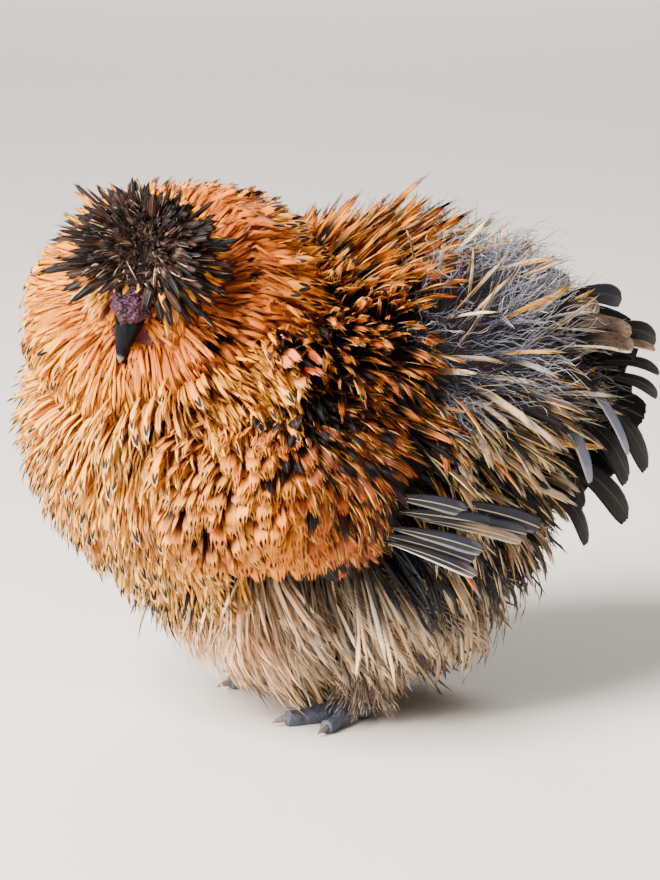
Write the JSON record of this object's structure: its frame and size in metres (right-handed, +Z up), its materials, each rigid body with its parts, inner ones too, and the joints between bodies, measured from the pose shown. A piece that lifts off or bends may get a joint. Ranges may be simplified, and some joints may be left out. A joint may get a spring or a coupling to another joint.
{
  "type": "silkie hen figure",
  "caption": "Life-size model of a standing silkie hen with raised plumage, head turned to her left and bowed.",
  "frame": {"origin": "middle of the bounding box's bottom face, on the floor under the standing bird", "axes": "+Z up; -Y towards the breast, +Y towards the tail; +X towards the bird's own left side"},
  "size_m": [0.215, 0.3096, 0.2526],
  "materials": {
    "plumage": "matt, orange feathers with dark tips over dark bases",
    "crest_feather": "matt, near-black feathers",
    "tail_feather": "satin, slate and black feathers",
    "face_skin": "matt, dark mulberry skin",
    "comb_skin": "satin, mulberry skin",
    "bill_horn": "glossy slate-blue horn",
    "eye": "polished, near-black",
    "leg_skin": "matt slate-blue skin",
    "claw_horn": "satin grey horn"
  },
  "bodies": {
    "root": {"head": "face_skin", "eye_left": "eye", "eye_right": "eye", "comb": "comb_skin", "bill_upper": "bill_horn", "bill_lower": "bill_horn", "wattle_left": "comb_skin", "wattle_right": "comb_skin", "crest": "crest_feather", "neck": "plumage", "torso": "plumage", "wing_left": "plumage", "wing_right": "plumage", "tail": "tail_feather", "leg_left": "leg_skin", "leg_right": "leg_skin", "claw_left_middle": "claw_horn", "claw_left_outer": "claw_horn", "claw_left_inner": "claw_horn", "claw_left_hind": "claw_horn", "claw_left_fifth": "claw_horn", "claw_right_middle": "claw_horn", "claw_right_outer": "claw_horn", "claw_right_inner": "claw_horn", "claw_right_hind": "claw_horn", "claw_right_fifth": "claw_horn"}
  },
  "joints": []
}
